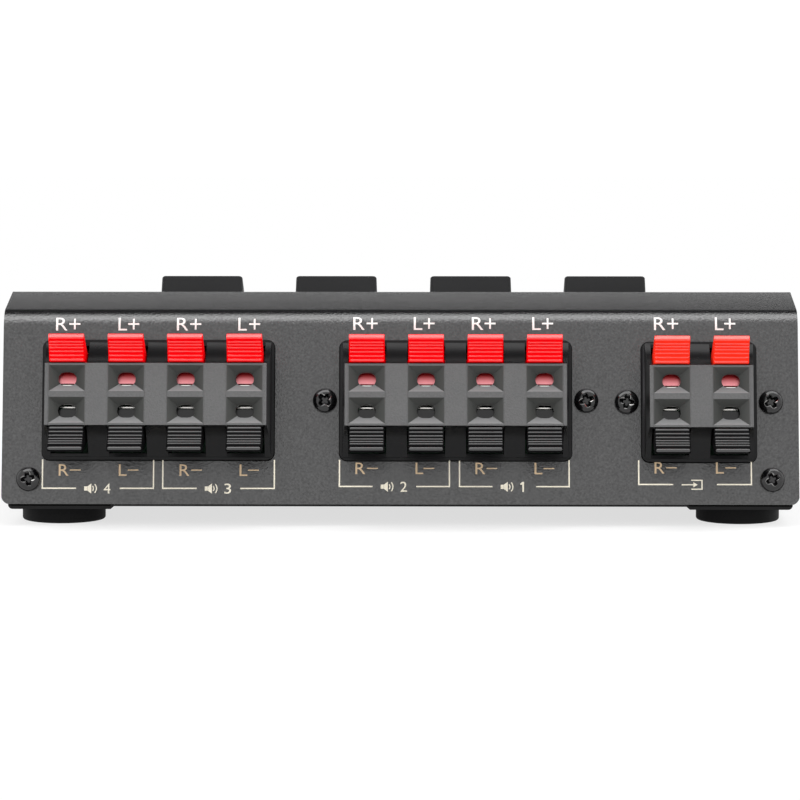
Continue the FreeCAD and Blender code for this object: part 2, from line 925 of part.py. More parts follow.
def board_screws():
    turn = FreeCAD.Rotation(X_AXIS, 180)
    return Part.makeCompound(
        [placed(SCREW, FreeCAD.Placement(V(x, f, board_back), turn)) for x, f in pillar_places]
    )


# ---------------------------------------------------------------- flat cables
def flat_cable(name, columns, x):
    """Flat cable in a loop from the back board down and up to the switch board."""
    start = block_frames[name].multVec(V(0, cable_thickness / 2, -rear_body_depth - board_thickness))
    end = control_frame(0).multVec(V(0, cable_board_f, board_back))
    first = (start.y, start.z)
    second = step(first, -rear_lean, cable_start_run)
    last = (end.y, end.z)
    before_last = step(last, -90.0 - control_slope, cable_end_run)
    low_rear = (second[0] + cable_slack, cable_drop)
    low_front = (before_last[0] - cable_slack, cable_drop)
    route = [first, second, low_rear, low_front, before_last, last]
    half = cable_per_column * columns / 2
    return extrude_x(band(route, cable_thickness, cable_bend), x - half, x + half)


# ---------------------------------------------------------------- everything, in place
def all_nodes():
    nodes = {
        "top_cover": top_cover(),
        "chassis_tray": chassis_tray(),
        "case_screws": Part.makeCompound(
            [
                placed(SCREW, place)
                for place in rear_screw_places + front_screw_places + terminal_screw_places
            ]
        ),
        "foot_screws": Part.makeCompound([placed(SCREW, place) for place in foot_screw_places]),
    }
    for name, (x, y) in foot_places.items():
        nodes[name] = foot(x, y)
    upper = upper_lever()
    for name, columns, x, _, screwed in BLOCKS:
        frame = block_frames[name]
        nodes[f"terminal_housing_{name}"] = placed(terminal_housing(columns, screwed), frame)
        nodes[f"terminal_contacts_{name}"] = placed(contact_group(columns), frame)
        nodes[f"terminal_board_{name}"] = placed(back_board(columns), frame)
        nodes[f"flat_cable_{name}"] = flat_cable(name, columns, x)
        for number, column_x in enumerate(column_xs(columns), start=1):
            for row, lever in (("red", upper), ("black", mirrored_t(upper))):
                shifted = lever.copy()
                shifted.translate(V(column_x, 0, 0))
                nodes[f"{row}_lever_{name}_{number}"] = placed(shifted, frame)
    for number, x in sorted(buttons.items()):
        frame = control_frame(x)
        nodes[f"button_cap_{number}"] = placed(button_cap(), frame)
        nodes[f"switch_plunger_{number}"] = placed(plunger(), frame)
        nodes[f"switch_spring_{number}"] = placed(return_spring(), frame)
        nodes[f"switch_body_{number}"] = placed(switch_body(), frame)
    board_frame = control_frame(0)
    nodes["switch_board"] = placed(switch_board(), board_frame)
    nodes["board_pillars"] = placed(board_pillars(), board_frame)
    nodes["board_screws"] = placed(board_screws(), board_frame)
    return nodes


os.makedirs("parts", exist_ok=True)
for node, shape in all_nodes().items():
    if not shape.isValid():
        print("not valid:", node)
    shape.exportStep(f"parts/{node}.step")
    bounds = shape.BoundBox
    print(
        f"{node:28s} solids {len(shape.Solids):3d}  volume {shape.Volume:10.1f}"
        f"  x {bounds.XMin:7.2f} {bounds.XMax:7.2f}"
        f"  y {bounds.YMin:7.2f} {bounds.YMax:7.2f}  z {bounds.ZMin:6.2f} {bounds.ZMax:6.2f}"
    )
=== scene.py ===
"""Finished look of the speaker selector switch, seen from its terminal side.

Millimetres in the sizes below, turned into Blender's metres by MM. On the rear panel, x runs along
it, t up it and n out of it. On the control panel, x runs along it, f down its slope and m out of it.
"""

import json
import math

import bmesh
import bpy
from mathutils import Matrix, Vector

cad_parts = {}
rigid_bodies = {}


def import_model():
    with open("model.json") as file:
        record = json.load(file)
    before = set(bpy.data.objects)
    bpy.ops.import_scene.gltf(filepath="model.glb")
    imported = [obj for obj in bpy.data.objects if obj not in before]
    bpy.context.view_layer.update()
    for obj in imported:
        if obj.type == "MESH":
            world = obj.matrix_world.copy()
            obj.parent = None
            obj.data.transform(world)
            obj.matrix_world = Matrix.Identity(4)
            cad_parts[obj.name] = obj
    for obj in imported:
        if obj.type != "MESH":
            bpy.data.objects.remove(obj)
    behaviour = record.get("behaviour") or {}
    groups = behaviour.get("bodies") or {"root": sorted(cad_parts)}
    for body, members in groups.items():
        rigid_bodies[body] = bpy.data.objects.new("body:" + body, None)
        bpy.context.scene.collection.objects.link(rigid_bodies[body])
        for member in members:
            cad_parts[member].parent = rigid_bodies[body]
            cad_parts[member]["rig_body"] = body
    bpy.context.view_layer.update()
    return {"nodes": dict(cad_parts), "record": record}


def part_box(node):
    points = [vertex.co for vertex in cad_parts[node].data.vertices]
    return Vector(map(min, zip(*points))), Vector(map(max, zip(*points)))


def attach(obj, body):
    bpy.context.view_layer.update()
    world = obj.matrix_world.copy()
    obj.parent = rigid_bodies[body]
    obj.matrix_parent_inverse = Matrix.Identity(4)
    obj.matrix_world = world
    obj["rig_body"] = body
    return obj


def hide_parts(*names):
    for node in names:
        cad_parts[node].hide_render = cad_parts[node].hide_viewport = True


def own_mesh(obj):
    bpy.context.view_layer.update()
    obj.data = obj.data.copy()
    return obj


MM = 0.001

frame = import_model()
NODES = frame["nodes"]
SLOT_OF = {part["node"]: part["material_slot"] for part in frame["record"]["subparts"]}

# ---------------------------------------------------------------- sizes that the case has
rear_lean = 13.5
rear_rise = 44.9
bend_radius = 5.0
strip_length = 22.3
strip_rise_angle = 8.95
control_slope = 26.0
block_centre_height = 25.0
block_sag = {"left": 0.05, "middle": 0.12, "right": 0.42}
block_columns = {"left": 4, "middle": 4, "right": 2}
terminal_pitch = 14.0
screw_beside_block = 3.55
block_end_gap = 0.75

FEET = ("foot_rear_left", "foot_rear_right", "foot_front_left", "foot_front_right")
BUTTON_NUMBERS = (1, 2, 3, 4)

case_low, case_high = (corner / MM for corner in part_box("top_cover"))
rear_y, half_width = case_low.y, case_high.x
cover_bottom = 5.35


def turn_x(degrees):
    return Matrix.Rotation(math.radians(degrees), 4, "X")


def turn_z(degrees):
    return Matrix.Rotation(math.radians(degrees), 4, "Z")


def at(x, y, z):
    return Matrix.Translation((x, y, z))


tan_lean = math.tan(math.radians(rear_lean))
REAR = at(0, rear_y, cover_bottom) @ turn_x(90 - rear_lean)
flat_top = rear_rise / math.cos(math.radians(rear_lean)) - bend_radius * math.tan(
    math.radians((90 - rear_lean - strip_rise_angle) / 2)
)
ridge_y = rear_y + rear_rise * tan_lean + strip_length * math.cos(math.radians(strip_rise_angle))
ridge_z = cover_bottom + rear_rise + strip_length * math.sin(math.radians(strip_rise_angle))
CONTROL = at(0, ridge_y, ridge_z) @ turn_x(-control_slope)


def middle_x(node):
    low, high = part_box(node)
    return (low.x + high.x) / 2 / MM


BLOCKS = {
    name: REAR @ at(middle_x(f"terminal_housing_{name}"), block_centre_height - sag, 0)
    for name, sag in block_sag.items()
}


def column_xs(name):
    count = block_columns[name]
    return [(i - (count - 1) / 2) * terminal_pitch for i in range(count)]


def block_half_width(name):
    return (block_columns[name] * terminal_pitch - block_end_gap) / 2


# ---------------------------------------------------------------- materials
def linear(red, green, blue):
    """An sRGB colour from 0 to 255, as a shader takes it."""
    def channel(value):
        value /= 255
        return value / 12.92 if value <= 0.04045 else ((value + 0.055) / 1.055) ** 2.4

    return (channel(red), channel(green), channel(blue), 1.0)


def math_node(nodes, links, operation, *values):
    """Result of a Math node on values that are plain numbers or other nodes' outputs."""
    node = nodes.new("ShaderNodeMath")
    node.operation = operation
    for socket, value in zip(node.inputs, values):
        if isinstance(value, bpy.types.NodeSocket):
            links.new(value, socket)
        else:
            socket.default_value = value
    return node.outputs["Value"]


def map_range(nodes, links, value, source, target, interpolation="LINEAR"):
    """Result of a Map Range node that takes the source's two ends to the target's."""
    node = nodes.new("ShaderNodeMapRange")
    node.interpolation_type = interpolation
    node.inputs["From Min"].default_value, node.inputs["From Max"].default_value = source
    node.inputs["To Min"].default_value, node.inputs["To Max"].default_value = target
    links.new(value, node.inputs["Value"])
    return node.outputs["Result"]


def noise_texture(nodes, links, size, detail, vector):
    """Noise texture whose features have a size in millimetres."""
    noise = nodes.new("ShaderNodeTexNoise")
    noise.inputs["Scale"].default_value = 1 / (size * MM)
    noise.inputs["Detail"].default_value = detail
    links.new(vector, noise.inputs["Vector"])
    return noise


def finish_material(
    name,
    color,
    roughness,
    other_color=None,
    patch=30.0,
    grain=0.4,
    grain_depth=0.01,
    grain_strength=0.3,
    roughness_spread=0.08,
    metallic=0.0,
    specular=0.5,
    streaks=None,
    speckle=0.0,
):
    """Principled finish with broad colour patches and a fine grain, in millimetres.

    streaks stretches the grain along X, Y or Z by the given factors, and speckle is the share
    by which the grain raises and lowers the gloss.
    """
    material = bpy.data.materials.new(name)
    material.use_nodes = True
    nodes, links = material.node_tree.nodes, material.node_tree.links
    shader = nodes["Principled BSDF"]
    shader.inputs["Metallic"].default_value = metallic
    shader.inputs["Specular IOR Level"].default_value = specular
    place = nodes.new("ShaderNodeTexCoord")
    grain_map = nodes.new("ShaderNodeMapping")
    grain_map.inputs["Scale"].default_value = streaks or (1.0, 1.0, 1.0)
    links.new(place.outputs["Object"], grain_map.inputs["Vector"])

    broad = noise_texture(nodes, links, patch, 4, place.outputs["Object"]).outputs["Fac"]
    fine_noise = noise_texture(nodes, links, grain, 3, grain_map.outputs["Vector"])
    fine_noise.inputs["Roughness"].default_value = 0.6
    fine = fine_noise.outputs["Fac"]

    tint = nodes.new("ShaderNodeMix")
    tint.data_type = "RGBA"
    tint.inputs["A"].default_value = color
    tint.inputs["B"].default_value = other_color or tuple(c * 0.86 for c in color[:3]) + (1.0,)
    half_fine = math_node(nodes, links, "MULTIPLY", fine, 0.5)
    blend = math_node(nodes, links, "MULTIPLY_ADD", broad, 0.5, half_fine)
    links.new(blend, tint.inputs["Factor"])
    links.new(tint.outputs["Result"], shader.inputs["Base Color"])

    smoothest, roughest = max(0.02, roughness - roughness_spread), roughness + roughness_spread
    rough = map_range(nodes, links, broad, (0.0, 1.0), (smoothest, min(1.0, roughest)))
    links.new(rough, shader.inputs["Roughness"])

    if speckle:
        levels = (specular * (1 - speckle), specular * (1 + speckle))
        gloss = map_range(nodes, links, fine, (0.3, 0.7), levels)
        links.new(gloss, shader.inputs["Specular IOR Level"])

    bump = nodes.new("ShaderNodeBump")
    bump.inputs["Strength"].default_value = grain_strength
    bump.inputs["Distance"].default_value = grain_depth * MM
    links.new(fine, bump.inputs["Height"])
    links.new(bump.outputs["Normal"], shader.inputs["Normal"])
    return material


def lever_materials(slot, color, other_color, polish=0.22, shine=0.9):
    """A lever's polished lip and ribs, and the satin finish between them."""
    shared = {"other_color": other_color, "patch": 8.0, "grain": 0.3, "grain_depth": 0.003}
    satin = f"{slot}_satin"
    return {
        slot: finish_material(slot, color, polish, specular=shine, grain_strength=0.1, **shared),
        satin: finish_material(satin, color, 0.42, specular=0.02, grain_strength=0.3, **shared),
    }


MATERIALS = {
    "cover_paint": finish_material(
        "cover_paint",
        linear(24, 24, 25),
        0.22,
        other_color=linear(19, 19, 20),
        specular=1.0,
        grain=0.5,
        grain_depth=0.1,
        grain_strength=0.9,
        roughness_spread=0.05,
        speckle=0.27,
    ),
    "tray_paint": finish_material(
        "tray_paint",
        linear(15, 15, 16),
        0.5,
        specular=0.2,
        grain=0.55,
        grain_depth=0.05,
        grain_strength=0.5,
    ),
    "foot_rubber": finish_material(
        "foot_rubber",
        linear(9, 9, 10),
        0.78,
        grain=0.3,
        grain_depth=0.03,
        grain_strength=0.5,
        specular=0.2,
    ),
    "black_screw": finish_material(
        "black_screw",
        linear(10, 10, 11),
        0.12,
        specular=0.55,
        patch=2.0,
        grain=0.12,
        grain_depth=0.006,
    ),
    "worn_screw": finish_material(
        "worn_screw",
        linear(168, 167, 165),
        0.18,
        metallic=1.0,
        patch=0.9,
        other_color=linear(40, 40, 40),
        grain=0.12,
        grain_depth=0.006,
    ),
    "housing_plastic": finish_material(
        "housing_plastic",
        linear(20, 20, 21),
        0.28,
        other_color=linear(15, 15, 16),
        specular=0.18,
        grain=0.4,
        grain_depth=0.008,
        grain_strength=0.3,
    ),
    "housing_face": finish_material(
        "housing_face",
        linear(88, 88, 88),
        0.6,
        other_color=linear(75, 75, 76),
        patch=9.0,
        grain=0.45,
        grain_depth=0.14,
        grain_strength=0.9,
        speckle=0.4,
    ),
    # Painted light: a paler copy of the etched face, for the lower slope of each well, which faces up
    # to the lamp.
    "housing_painted_lit_slope": finish_material(
        "housing_painted_lit_slope",
        linear(122, 122, 122),
        0.6,
        other_color=linear(110, 110, 111),
        patch=9.0,
        grain=0.3,
        grain_depth=0.03,
        grain_strength=0.5,
    ),
    # Painted shade: a darker copy of the etched face, for the other sides of each well.
    "housing_painted_shade_well": finish_material(
        "housing_painted_shade_well",
        linear(58, 59, 57),
        0.5,
        other_color=linear(48, 49, 47),
        patch=9.0,
        grain=0.3,
        grain_depth=0.02,
        grain_strength=0.5,
    ),
    "contact_bronze": finish_material(
        "contact_bronze",
        linear(250, 248, 243),
        0.2,
        grain=0.2,
        grain_depth=0.004,
        metallic=1.0,
        streaks=(1.0, 1.0, 0.1),
    ),
    "board_laminate": finish_material(
        "board_laminate", linear(28, 84, 52), 0.35, patch=6.0, grain=0.6, grain_depth=0.01
    ),
    "cable_grey": finish_material(
        "cable_grey",
        linear(150, 150, 152),
        0.5,
        grain=1.27,
        grain_depth=0.2,
        grain_strength=0.8,
        streaks=(1.0, 0.01, 0.01),
    ),
    **lever_materials("lever_red", linear(240, 0, 8), linear(234, 0, 6)),
    **lever_materials("lever_orange_red", linear(243, 46, 26), linear(239, 40, 22)),
    **lever_materials("lever_black", linear(12, 12, 13), linear(9, 9, 10), 0.14, 1.0),
    "button_plastic": finish_material(
        "button_plastic",
        linear(25, 25, 26),
        0.6,
        specular=0.15,
        grain=0.3,
        grain_depth=0.02,
        grain_strength=0.4,
    ),
    "switch_plastic": finish_material(
        "switch_plastic", linear(36, 36, 38), 0.45, grain=0.4, grain_depth=0.01
    ),
    "spring_steel": finish_material(
        "spring_steel", linear(190, 190, 192), 0.25, grain=0.15, grain_depth=0.003, metallic=1.0
    ),
    "zinc_steel": finish_material(
        "zinc_steel",
        linear(196, 198, 200),
        0.35,
        other_color=linear(170, 176, 182),
        patch=4.0,
        grain=0.2,
        grain_depth=0.004,
        metallic=1.0,
    ),
    "white_ink": finish_material(
        "white_ink", linear(232, 231, 227), 0.5, other_color=linear(214, 214, 212), grain=0.25
    ),
    "cream_ink": finish_material(
        "cream_ink", linear(246, 240, 222), 0.5, other_color=linear(228, 219, 198), grain=0.25
    ),
    "gold_ink": finish_material(
        "gold_ink", linear(214, 188, 154), 0.5, other_color=linear(190, 164, 130), grain=0.25
    ),
}

for node, piece in NODES.items():
    piece.data.materials.clear()
    piece.data.materials.append(MATERIALS[SLOT_OF[node]])


# ---------------------------------------------------------------- geometry helpers
weld_distance = 0.002
flat_within = 0.6


def add_piece(name, mesh, slot, body="case", place=None):
    """A mesh in millimetres becomes a finished piece that rides on a CAD body."""
    mesh.materials.clear()
    mesh.materials.append(MATERIALS[slot])
    piece = bpy.data.objects.new(name, mesh)
    bpy.context.scene.collection.objects.link(piece)
    scale = Matrix.Scale(MM, 4)
    mesh.transform(scale @ (place or Matrix.Identity(4)))
    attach(piece, body)
    return piece


def smooth(mesh, angle=35):
    for polygon in mesh.polygons:
        polygon.use_smooth = True
    mesh.set_sharp_from_angle(angle=math.radians(angle))


def soften(piece, width, segments=3, angle=28):
    """Round the convex edges of a piece that are sharper than an angle, in millimetres."""
    mesh = piece.data
    bm = bmesh.new()
    bm.from_mesh(mesh)
    layers = bm.edges.layers.float
    weight = layers.get("bevel_weight_edge") or layers.new("bevel_weight_edge")
    for edge in bm.edges:
        if len(edge.link_faces) != 2 or not edge.is_convex:
            continue
        if edge.calc_face_angle() >= math.radians(angle):
            edge[weight] = 1.0
    bm.to_mesh(mesh)
    bm.free()
    bevel = piece.modifiers.new("rounded_edges", "BEVEL")
    bevel.limit_method = "WEIGHT"
    bevel.width = width * MM
    bevel.segments = segments
    bevel.harden_normals = True
    smooth(mesh)
    return piece


def dress(node, width, unwanted=None):
    """A finished copy of a CAD node, with its convex edges rounded.

    unwanted(point in millimetres) picks the corners of small bosses that are left out of the look.
    """
    mesh = NODES[node].data.copy()
    bm = bmesh.new()
    bm.from_mesh(mesh)
    bmesh.ops.remove_doubles(bm, verts=bm.verts, dist=weld_distance * MM)
    if unwanted:
        bosses = [vert for vert in bm.verts if unwanted(vert.co / MM)]
        bmesh.ops.delete(bm, geom=bosses, context="VERTS")
        bmesh.ops.holes_fill(bm, edges=[edge for edge in bm.edges if edge.is_boundary])
    bmesh.ops.dissolve_limit(
        bm,
        angle_limit=math.radians(flat_within),
        verts=bm.verts,
        edges=bm.edges,
        use_dissolve_boundaries=False,
    )
    bm.to_mesh(mesh)
    bm.free()
    mesh.transform(Matrix.Scale(1 / MM, 4))
    piece = add_piece(f"{node}_finished", mesh, SLOT_OF[node], NODES[node]["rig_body"])
    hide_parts(node)
    return soften(piece, width)


def unit(angle):
    return Vector((math.cos(math.radians(angle)), math.sin(math.radians(angle))))


def rectangle(x0, x1, t0, t1):
    """Outline between two opposite corners."""
    return [Vector((x0, t0)), Vector((x1, t0)), Vector((x1, t1)), Vector((x0, t1))]


def rounded_outline(corners):
    """Closed outline in a plane from (point, radius) corners, each corner rounded."""
    steps = 6
    points = []
    for i, (corner, radius) in enumerate(corners):
        if not radius:
            points.append(corner)
            continue
        before, after = corners[i - 1][0], corners[(i + 1) % len(corners)][0]
        into, out = (corner - before).normalized(), (after - corner).normalized()
        turn = into.angle_signed(out)
        reach = radius * abs(math.tan(turn / 2))
        first = corner - into * reach
        side = Vector((into.y, -into.x)) if turn > 0 else Vector((-into.y, into.x))
        centre = first + side * radius
        start = first - centre
        sweep = -turn
        for k in range(steps + 1):
            angle = sweep * k / steps
            c, s = math.cos(angle), math.sin(angle)
            points.append(centre + Vector((start.x * c - start.y * s, start.x * s + start.y * c)))
    return points


def finished_mesh(bm, name):
    """Mesh data from a closed bmesh, with its faces turned outwards."""
    bmesh.ops.recalc_face_normals(bm, faces=bm.faces)
    mesh = bpy.data.meshes.new(name)
    bm.to_mesh(mesh)
    bm.free()
    return mesh


def stacked(rings, name):
    """Closed solid through rings of points that all have the same count."""
    bm = bmesh.new()
    rings = [[bm.verts.new(point) for point in ring] for ring in rings]
    count = len(rings[0])
    for low, high in zip(rings, rings[1:]):
        for i in range(count):
            j = (i + 1) % count
            bm.faces.new((low[i], low[j], high[j], high[i]))
    bm.faces.new(rings[0][::-1])
    bm.faces.new(rings[-1])
    return finished_mesh(bm, name)


def prism(outline, half, name, axis_map):
    """Solid between two parallel planes, from an outline. axis_map(a, b, h) places its points."""
    return stacked([[axis_map(p.x, p.y, h) for p in outline] for h in (-half, half)], name)


def lathe(profile, name, sides=64):
    """Solid of revolution about Z from (radius, z) points that start and end on the axis."""
    bm = bmesh.new()
    rings = []
    for radius, z in profile:
        if radius < 1e-6:
            rings.append([bm.verts.new((0, 0, z))])
        else:
            rings.append(
                [
                    bm.verts.new((radius * c, radius * s, z))
                    for c, s in (unit(360 * k / sides) for k in range(sides))
                ]
            )
    for low, high in zip(rings, rings[1:]):
        for k in range(sides):
            n = (k + 1) % sides
            if len(low) == 1:
                bm.faces.new((low[0], high[k], high[n]))
            elif len(high) == 1:
                bm.faces.new((low[k], low[n], high[0]))
            else:
                bm.faces.new((low[k], low[n], high[n], high[k]))
    return finished_mesh(bm, name)


def joined(meshes, name):
    """One mesh from (mesh, placement) pairs."""
    bm = bmesh.new()
    for mesh, place in meshes:
        part = mesh.copy()
        part.transform(place)
        if place.determinant() < 0:
            part.flip_normals()
        bm.from_mesh(part)
        bpy.data.meshes.remove(part)
    result = bpy.data.meshes.new(name)
    bm.to_mesh(result)
    bm.free()
    return result


def carved(mesh, cutter, name):
    """The mesh with the cutter's room taken out of it."""
    target = bpy.data.objects.new(name, mesh)
    tool = bpy.data.objects.new(f"{name}_cutter", cutter)
    for thing in (target, tool):
        bpy.context.scene.collection.objects.link(thing)
    modifier = target.modifiers.new("cut", "BOOLEAN")
    modifier.operation = "DIFFERENCE"
    modifier.solver = "EXACT"
    modifier.object = tool
    graph = bpy.context.evaluated_depsgraph_get()
    result = bpy.data.meshes.new_from_object(target.evaluated_get(graph))
    for thing in (target, tool):
        bpy.data.objects.remove(thing)
    return result


# ---------------------------------------------------------------- case, tray and housings
plate_half_height = 7.4
plate_front = 11.4
well_depth = 2.2
well_width = 8.5
side_taper = 1.4
web_height = 0.14
web_gap = 0.14
touching = 0.02
beyond_side = 0.05
cover_edge = 0.18
tray_edge = 0.15
housing_edge = 0.16
web_edge = 0.1
foot_edge = 0.1
cap_edge = 0.1


def texture_face(piece, place):
    """The front plate is etched paler than the rest of the housing. In each well, the lower slope that
    faces up gets a lighter copy of that finish as painted light from above, and the well's other sides
    get a darker copy as painted shade.
    """
    mesh = piece.data
    for finish in ("housing_face", "housing_painted_lit_slope", "housing_painted_shade_well"):
        mesh.materials.append(MATERIALS[finish])
    back = place.inverted()
    well_bottom = plate_front - well_depth
    for polygon in mesh.polygons:
        centre = back @ (polygon.center / MM)
        if abs(centre.y) > plate_half_height + touching or centre.z < well_bottom - touching:
            continue
        normal = back.to_3x3() @ polygon.normal
        faces_out, faces_up = normal.z > 0.9, normal.y > 0.4
        # Faces that look up get the painted-light copy, and the other well sides get the painted-shade
        # copy.
        polygon.material_index = 1 if faces_out else 2 if faces_up else 3


def face_webs(name):
    """Low pads on a housing's front plate, beside and between its columns."""
    xs = column_xs(name)
    edge = block_half_width(name) - side_taper
    half_well = well_width / 2 + web_gap
    runs = [(-edge, xs[0] - half_well)]
    runs += [(a + half_well, b - half_well) for a, b in zip(xs, xs[1:])]
    runs.append((xs[-1] + half_well, edge))
    pads = []
    for x0, x1 in runs:
        outline = rectangle(x0, x1, -plate_half_height, plate_half_height)
        pad = prism(outline, web_height, "web", lambda a, b, h: (a, b, h + plate_front))
        pads.append((pad, Matrix.Identity(4)))
    return joined(pads, f"terminal_housing_{name}_webs")


def is_snap_nose(name):
    """Corner test for the noses that stand out past a housing's sides, just over the panel."""
    back = BLOCKS[name].inverted()

    def test(point):
        local = back @ point
        return abs(local.x) > block_half_width(name) + beyond_side and local.z > -beyond_side

    return test


dress("top_cover", cover_edge)
dress("chassis_tray", tray_edge)
for name, place in BLOCKS.items():
    housing = dress(f"terminal_housing_{name}", housing_edge, is_snap_nose(name))
    texture_face(housing, place)
    webs = add_piece(f"terminal_housing_{name}_webs", face_webs(name), "housing_face", place=place)
    soften(webs, web_edge, segments=2)
for foot in FEET:
    dress(foot, foot_edge)
for number in BUTTON_NUMBERS:
    dress(f"button_cap_{number}", cap_edge)

# ---------------------------------------------------------------- springs under the buttons
for joint in frame["record"]["behaviour"]["joints"]:
    for coil in joint.get("deforming_nodes", ()):
        node = coil["node"]
        mesh = NODES[node].data.copy()
        mesh.transform(Matrix.Scale(1 / MM, 4))
        spring = add_piece(f"{node}_coil", mesh, SLOT_OF[node])
        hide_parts(node)
        low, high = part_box(node)
        middle, press = (low + high) / 2, Vector(joint["axis"])
        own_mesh(spring)

# ---------------------------------------------------------------- terminal levers
lever_width = 8.4
lever_gap = 0.3
pivot = Vector((8.5, 2.0))
eye_radius = 1.9
trunnion_radius = 1.0
trunnion_length = 1.0
jaw_tip_t = 3.0
jaw_top_n = 6.8
jaw_tip_thickness = 1.4
jaw_root_n = 4.4
grip_radius = 8.4
grip_start_angle = 10.0
lip_start_angle = 52.5
lip_slope = 28.5
lip_thickness = 1.35
lip_round = 0.35
lip_back_round = 0.45
rib_angles = (19.6, 26.6, 33.0, 38.4, 43.8)
rib_radius = 0.25
rib_depth = 0.07
edge_bead_angle = 12.8
edge_bead_radius = 0.34
lip_bead_radius = 0.42
rib_from_side = 0.15
lip_polish_angle = 3.0
core_width = 5.2
core_depth = 1.8
jaw_lower_round = 0.2
jaw_upper_round = 0.3
lever_edge = 0.2


def grip_point(angle, depth=0.0):
    """Point on a lever's grip where its surface slopes at an angle, or a depth under it."""
    start = Vector((plate_half_height + lever_gap, plate_front + lever_gap))
    centre = start + unit(90 + grip_start_angle) * grip_radius
    return centre + unit(angle - 90) * (grip_radius + depth)


def along_x(a, b, h):
    return (h, a, b)


def lever_mesh():
    """Upper row's lever, about its block's centre line: t in y and n in z."""
    lip_in = grip_point(lip_start_angle)
    lip_out = lip_in + unit(-lip_slope) * lip_thickness
    back = pivot + Vector((eye_radius, 0))
    corners = []
    grip_end_angle = lip_start_angle - lip_polish_angle
    grip_steps = 14
    for k in range(grip_steps):
        share = k / grip_steps
        angle = grip_start_angle + share * (grip_end_angle - grip_start_angle)
        corners.append((grip_point(angle), 0))
    corners.append((lip_in, lip_round))
    corners.append((lip_out, lip_back_round))
    eye_steps = 10
    for k in range(eye_steps + 1):
        corners.append((pivot + unit(-180 * k / eye_steps) * eye_radius, 0))
    corners += [
        (Vector((pivot.x - eye_radius, jaw_root_n)), 0),
        (Vector((jaw_tip_t, jaw_top_n - jaw_tip_thickness)), jaw_lower_round),
        (Vector((jaw_tip_t, jaw_top_n)), jaw_upper_round),
        (Vector((grip_point(grip_start_angle).x, jaw_top_n)), 0),
    ]
    half = lever_width / 2
    body = prism(rounded_outline(corners), half, "lever_body", along_x)
    run = (lip_out - back).normalized()
    side = Vector((run.y, -run.x))
    low, high = back + run * 2 * eye_radius, lip_out - run * 2 * lip_thickness
    pocket = [low + side, high + side, high - side * lip_thickness, low - side * core_depth]
    core = prism(pocket, core_width / 2, "lever_core", along_x)
    body = carved(body, core, "lever_body")
    pin = [unit(angle) * trunnion_radius + pivot for angle in range(0, 360, 15)]
    pieces = [
        (body, Matrix.Identity(4)),
        (prism(pin, half + trunnion_length, "lever_pin", along_x), Matrix.Identity(4)),
    ]
    return joined(pieces, "lever")


def rib_mesh(radius):
    """Rounded bar across a grip, with domed ends."""
    length = lever_width / 2 - rib_from_side
    profile = [(0.0, -length)]
    steps = 4
    for k in range(1, steps + 1):
        c, s = unit(90 * k / steps)
        profile.append((radius * s, -length + radius * (1 - c)))
    profile += [(r, -z) for r, z in profile[::-1]]
    return lathe(profile, "rib", sides=12)


def lever_ribs(row):
    """Ribs of a grip, a thicker bead at its front edge and, in the black row, one at its lip."""
    lying = Matrix.Rotation(math.radians(90), 4, "Y")
    beads = [(rib_radius, grip_point(angle, rib_depth)) for angle in rib_angles]
    beads.append((edge_bead_radius, grip_point(edge_bead_angle, edge_bead_radius / 2)))
    if row == "black":
        lip_bead = grip_point(lip_start_angle, lip_bead_radius / 4)
        beads.append((lip_bead_radius, lip_bead + unit(-lip_slope) * 0.8 * lip_bead_radius))
    bars = [(rib_mesh(radius), at(0, point.x, point.y) @ lying) for radius, point in beads]
    return joined(bars, "lever_ribs")


def satin_body(piece, slot, row, place):
    """A red lever is polished past the start of its lip; other lever faces are satin."""
    mesh = piece.data
    mesh.materials.append(MATERIALS[f"{slot}_satin"])
    lip_t = grip_point(lip_start_angle - lip_polish_angle).x
    back = place.inverted()
    for polygon in mesh.polygons:
        if row == "black" or (back @ (polygon.center / MM)).y < lip_t:
            polygon.material_index = 1


LEVER = lever_mesh()
RIBS = {row: lever_ribs(row) for row in ("red", "black")}
ROWS = (("red", Matrix.Identity(4)), ("black", Matrix.Scale(-1, 4, (0, 1, 0))))


def block_levers(name):
    """Each lever of a block: its row, the row's side of the block, its node, body and column."""
    for number, x in enumerate(column_xs(name), start=1):
        for row, side in ROWS:
            node = f"{row}_lever_{name}_{number}"
            yield row, side, node, NODES[node]["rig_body"], BLOCKS[name] @ at(x, 0, 0)


for name in BLOCKS:
    for row, side, node, body, column in block_levers(name):
        blank = joined([(LEVER, side)], f"{node}_finished")
        lever = add_piece(f"{node}_finished", blank, SLOT_OF[node], body, column)
        satin_body(lever, SLOT_OF[node], row, BLOCKS[name])
        soften(lever, lever_edge, angle=40)
        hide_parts(node)
        bars = joined([(RIBS[row], side)], f"{node}_ribs")
        ribs = add_piece(f"{node}_ribs", bars, SLOT_OF[node], body, column)
        smooth(ribs.data, 60)

# Each jaw gets a thin glossy pad under its wire hole. A red one carries painted light: painted shade at
# its top, where the rim of the hole shades it, turning to a painted highlight towards its tip.
jaw_pad_half_width = 2.4
jaw_pad_length = 2.9
jaw_pad_height = 0.06
jaw_pad_from_tip = 0.05
jaw_pad_round = 0.3
jaw_pad_fade = 0.75 * jaw_pad_length


